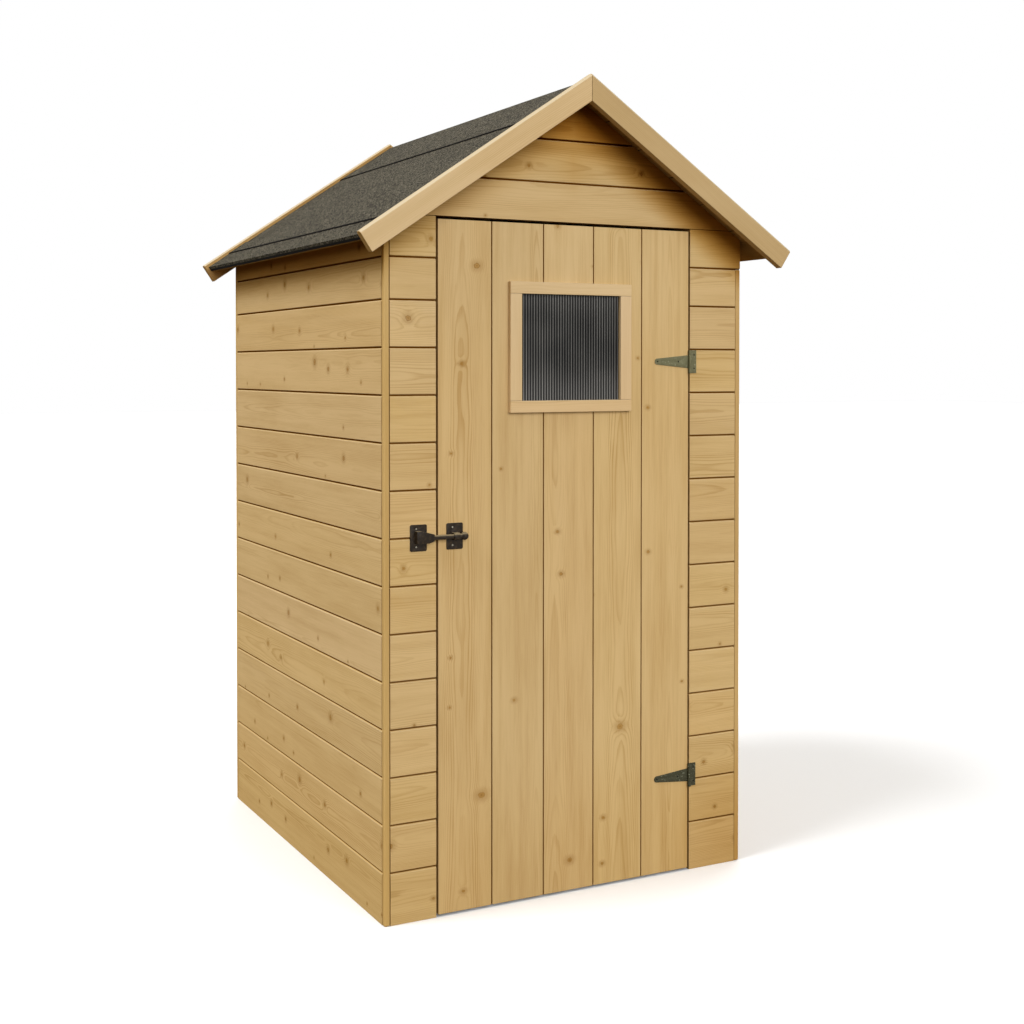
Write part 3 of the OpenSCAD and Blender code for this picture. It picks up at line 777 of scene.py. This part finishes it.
def window_pane(material):
    """Twin-wall sheet with a raised web at every cell's wall, on both faces."""
    low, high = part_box("window_pane")
    half_web, lift, cell_w = 0.75 * MM, 0.35 * MM, 7.6 * MM
    cells = round((high.x - low.x) / cell_w)
    pitch = (high.x - low.x) / cells
    foot = 2.2 * half_web
    # across a web: the place, the share of its lift, and how much of the web's colour shows there
    ridge = ((-foot, 0, 0), (-half_web, 0.5, 0.55), (0, 1, 1), (half_web, 0.5, 0.55), (foot, 0, 0))
    columns = []
    for i in range(cells + 1):
        centre = low.x + i * pitch
        columns += [(centre + offset, rise * lift, web) for offset, rise, web in ridge
                    if low.x <= centre + offset <= high.x]
    bm = bmesh.new()
    rows = []
    for z in (low.z, high.z):
        front = [bm.verts.new((x, low.y + lift - rise, z)) for x, rise, _ in columns]
        back = [bm.verts.new((x, high.y - lift + rise, z)) for x, rise, _ in reversed(columns)]
        rows.append(front + back)
    bridge(bm, *rows)
    last = len(rows[0]) - 1
    for row in rows:
        for k in range(len(columns) - 1):
            bm.faces.new([row[k], row[k + 1], row[last - 1 - k], row[last - k]])
    bmesh.ops.recalc_face_normals(bm, faces=bm.faces)
    sheet = from_bmesh(bm, "window_sheet", material, "window_pane", smooth=50)
    webs = [web for _, _, web in columns]
    sheet.data.attributes.new("web", "FLOAT", "POINT").data.foreach_set("value", (webs + webs[::-1]) * 2)
    return sheet


# ---------------------------------------------------------------- ironwork

def metalwork(node, material, edge, segments):
    bm = cad_mesh(node)
    soften(bm, edge * MM, segments, above=35)
    return from_bmesh(bm, node + "_metal", material, node, smooth=35)


def hole_rims(node):
    """Centres and radii of a plate's screw holes, on the face that looks out. A hole's wall is a ring of
    four-sided faces that stand square to the plate and look at its middle."""
    bm = cad_mesh(node)

    def square(face):
        return abs(face.normal.y) < 0.05 and len(face.verts) == 4

    rims, seen = [], set()
    for face in bm.faces:
        if face in seen or not square(face):
            continue
        ring, todo = set(), [face]
        while todo:
            found = todo.pop()
            if found not in ring:
                ring.add(found)
                todo += [other for edge in found.edges if abs(direction(edge).y) > 0.99
                         for other in edge.link_faces if square(other)]
        seen |= ring
        points = [v.co for f in ring for v in f.verts]
        xs, zs = [p.x for p in points], [p.z for p in points]
        width, height = max(xs) - min(xs), max(zs) - min(zs)
        # the screw holes are round and 4.4 mm wide
        if abs(width - height) > 0.3 * MM or not 3 * MM < width < 7 * MM:
            continue
        centre = Vector(((max(xs) + min(xs)) / 2, min(p.y for p in points), (max(zs) + min(zs)) / 2))
        if all((f.calc_center_median() - centre).dot(f.normal) < 0 for f in ring):
            rims.append((centre, width / 2))
    bm.free()
    return rims


def screws(node, material, proud):
    """A screw in every hole of a plate: a shallow dome with a cross cut into it."""
    count = 24
    # the head's rings, from its rim to the slots: shares of its radius and of its rise
    head = ((1.0, 0.0), (0.97, 0.35), (0.8, 0.75), (0.5, 0.95))
    slot_depth, slot_half_width, tip_rise = 0.55, 0.2, 0.3
    fit, sunk, shank = 0.99, 0.25 * MM, 1.2 * MM
    bm = bmesh.new()
    for rim, radius in hole_rims(node):
        turn = draw.uniform(0, math.pi / 2)
        centre = rim + Y * sunk
        rows = []
        for share, rise in head:
            row = []
            for k in range(count):
                a = 2 * math.pi * k / count
                from_slot = min(abs(math.sin(a - turn)), abs(math.cos(a - turn)))
                in_slot = share < 0.9 and from_slot < slot_half_width
                reach = radius * fit * share
                height = proud * (rise - (slot_depth if in_slot else 0.0)) * MM
                row.append(bm.verts.new(centre + Vector((reach * math.cos(a), -height, reach * math.sin(a)))))
            rows.append(row)
        tip = bm.verts.new(centre - Y * tip_rise * proud * MM)
        back = [bm.verts.new(v.co + Y * shank) for v in rows[0]]
        for outer, inner in zip([back, *rows], rows):
            bridge(bm, outer, inner)
        for k in range(count):
            bm.faces.new([rows[-1][k], rows[-1][(k + 1) % count], tip])
        bm.faces.new(back)
    bmesh.ops.recalc_face_normals(bm, faces=bm.faces)
    return from_bmesh(bm, node + "_screws", material, node, replace=False, smooth=50)


# ---------------------------------------------------------------- the piece list

WALL_PINE = {"light": srgb(205, 174, 123), "dark": srgb(168, 132, 75), "knots": 0.46, "contrast": 0.8,
             "spike": 1.05, "seam": srgb(112, 66, 6)}
siding = pine("pine_siding", **WALL_PINE)
panel_pine = pine("pine_panels", **WALL_PINE, fade=0.16)
door_pine = pine("pine_door", srgb(205, 175, 126), srgb(170, 133, 79), knots=0.36, deepen=0.0,
                 seam=srgb(112, 66, 8))
trim_pine = pine("pine_trim", srgb(212, 182, 137), srgb(184, 150, 102), contrast=0.6)
strip_pine = pine("pine_strip", srgb(198, 164, 108), srgb(168, 130, 72), contrast=0.8)
barge_left = pine("pine_barge_left", srgb(211, 181, 135), srgb(184, 150, 98), contrast=0.8, deepen=0.0)
barge_right = pine("pine_barge_right", srgb(191, 162, 115), srgb(164, 132, 81), contrast=0.8, deepen=0.0)
# a darker copy of the bargeboards' wood, painted shade for their ends and inward sides
barge_shaded = pine("pine_barge_shaded", srgb(180, 141, 84), srgb(134, 100, 54), deepen=0.0)
frame_pine = pine("pine_framing", srgb(200, 169, 118), srgb(162, 126, 73), knots=0.25, roughness=0.72)
roof_pine = pine("pine_roof", srgb(178, 146, 96), srgb(140, 104, 56), knots=0.2, roughness=0.75, deepen=0.2)
felt = mineral_felt()
tar = bitumen()
zinc_upper = zinc("zinc_upper", srgb(106, 103, 74), srgb(80, 77, 52), roughness=0.42)
zinc_lower = zinc("zinc_lower", srgb(60, 58, 36), srgb(40, 39, 24), roughness=0.45)
iron = black_iron()
dull_steel = steel("dull_steel", srgb(8, 7, 6), srgb(30, 27, 21))
bright_steel = steel("bright_steel", srgb(118, 112, 98), srgb(168, 162, 146))

board_wall("left_wall", siding, Y, Z, -X)
board_wall("right_wall", siding, Y, Z, X)
board_wall("front_left_panel", panel_pine, X, Z, -Y, edge=1.2, meets=GABLE_FOOT)
board_wall("front_right_panel", panel_pine, X, Z, -Y, edge=1.2, meets=GABLE_FOOT)
board_wall("front_gable", siding, X, Z, -Y, meets=GABLE_FOOT)
board_wall("rear_wall", siding, X, Z, Y)
board_wall("door_boards", door_pine, Z, X, -Y, edge=0.6)
for side in (-1, 1):
    roof_boarding(side, roof_pine)
for corner in ("front_left", "front_right", "rear_left", "rear_right"):
    corner_strip("corner_strip_" + corner, strip_pine)
for node in ("corner_posts", "door_posts", "head_rail", "wall_studs", "sill_battens", "wall_plates",
             "gable_post", "ridge_beam", "door_stiles", "door_rails"):
    timber(node, frame_pine)
timber("window_beads", trim_pine, edge=1.0)
for corner, wood, chamfer in (("front_left", barge_left, 5), ("front_right", barge_right, 5),
                              ("rear_left", barge_left, 3), ("rear_right", barge_right, 3)):
    bargeboard("bargeboard_" + corner, wood, barge_shaded, chamfer)
window_frame(trim_pine)
window_pane(twin_wall_sheet())
for node in ("felt_eave_left", "felt_eave_right", "felt_course_left", "felt_course_right", "felt_ridge"):
    felt_sheet(node, felt, tar)
for node in ("felt_course_left", "felt_course_right", "felt_ridge"):
    felt_seam(node, tar)
for node, metal in (("hinge_plate_upper", zinc_upper), ("hinge_strap_upper", zinc_upper),
                    ("hinge_plate_lower", zinc_lower), ("hinge_strap_lower", zinc_lower)):
    metalwork(node, metal, edge=0.3, segments=2)
    screws(node, dull_steel, proud=0.5)
for node in ("latch_keeper", "latch_plate", "latch_bar"):
    metalwork(node, iron, edge=0.8, segments=3)
for node in ("latch_keeper", "latch_plate"):
    screws(node, bright_steel, proud=0.9)


# ---------------------------------------------------------------- floor, light, camera

def seen_straight(g):
    """1 for what the camera sees, itself or mirrored in a surface, and 0 for what only throws light."""
    sight = g.node("LightPath").outputs
    return g.math("MAXIMUM", sight["Is Camera Ray"], sight["Is Glossy Ray"])


def stage_floor():
    """A white floor that keeps the shadow, and throws less light back than the camera sees."""
    g = Graph(bpy.data.materials.new("stage_white"))
    colour = g.mix(seen_straight(g), (0.06, 0.05, 0.035), (0.98, 0.98, 0.98))
    reach = 40
    mesh = bpy.data.meshes.new("stage_floor")
    mesh.from_pydata([(x * reach, y * reach, 0) for x, y in ((-1, -1), (1, -1), (1, 1), (-1, 1))], [],
                     [(0, 1, 2, 3)])
    mesh.materials.append(g.finish(colour, 0.9, Specular_IOR_Level=0.0))
    floor = bpy.data.objects.new("stage_floor", mesh)
    floor.location.z = -0.5 * MM
    bpy.context.scene.collection.objects.link(floor)


def studio_light():
    """The walls of the studio light the object warmly, and its ceiling hardly does. The camera sees white."""
    world = bpy.data.worlds.new("studio")
    bpy.context.scene.world = world
    g = Graph(world, "OutputWorld")
    seen = seen_straight(g)
    height = g.xyz(g.node("TexCoord").outputs["Generated"])[2]
    level = g.node("MapRange", Value=seen, To_Min=g.window(height, 0.0, 0.6, 1.0, 0.3), To_Max=1.0)
    colour = g.mix(seen, (1, 0.94, 0.84), (1, 1, 1))
    back = g.node("Background", Color=colour, Strength=level.outputs[0])
    g.plug(g.out.inputs["Surface"], back.outputs[0])


def sun(name, azimuth, elevation, strength, spread):
    """A broad soft lamp, placed by the degrees it stands round from the front and over the ground."""
    light = bpy.data.lights.new(name, "SUN")
    light.color = (0.98, 1.0, 1.03)
    light.energy, light.angle = strength, math.radians(spread)
    lamp = bpy.data.objects.new(name, light)
    a, e = math.radians(azimuth), math.radians(elevation)
    toward = Vector((math.sin(a) * math.cos(e), -math.cos(a) * math.cos(e), math.sin(e)))
    lamp.rotation_mode = "QUATERNION"
    lamp.rotation_quaternion = toward.to_track_quat("Z", "Y")
    bpy.context.scene.collection.objects.link(lamp)


def camera():
    """The photographer stands before the near corner of the walls, a little to its left."""
    corner = Vector((*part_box("corner_strip_front_left")[0].xy, 0))
    data = bpy.data.cameras.new("photo_view")
    data.sensor_width = 36
    data.lens = 51.25
    data.shift_y = -0.1154
    data.clip_end = 200
    cam = bpy.data.objects.new("photo_view", data)
    cam.location = corner + Vector((-1.3405, -3.2316, 1.345))
    yaw, pitch = math.radians(27.56), math.radians(1.0)
    forward = Vector((math.sin(yaw) * math.cos(pitch), math.cos(yaw) * math.cos(pitch), -math.sin(pitch)))
    cam.rotation_mode = "QUATERNION"
    cam.rotation_quaternion = forward.to_track_quat("-Z", "Y")
    bpy.context.scene.collection.objects.link(cam)
    bpy.context.scene.camera = cam


stage_floor()
studio_light()
sun("left", azimuth=-90, elevation=46, strength=2.5, spread=32)
sun("front", azimuth=4, elevation=20, strength=2.15, spread=45)
sun("back", azimuth=140, elevation=30, strength=1.7, spread=55)
camera()
bpy.context.scene.view_settings.view_transform = "Standard"
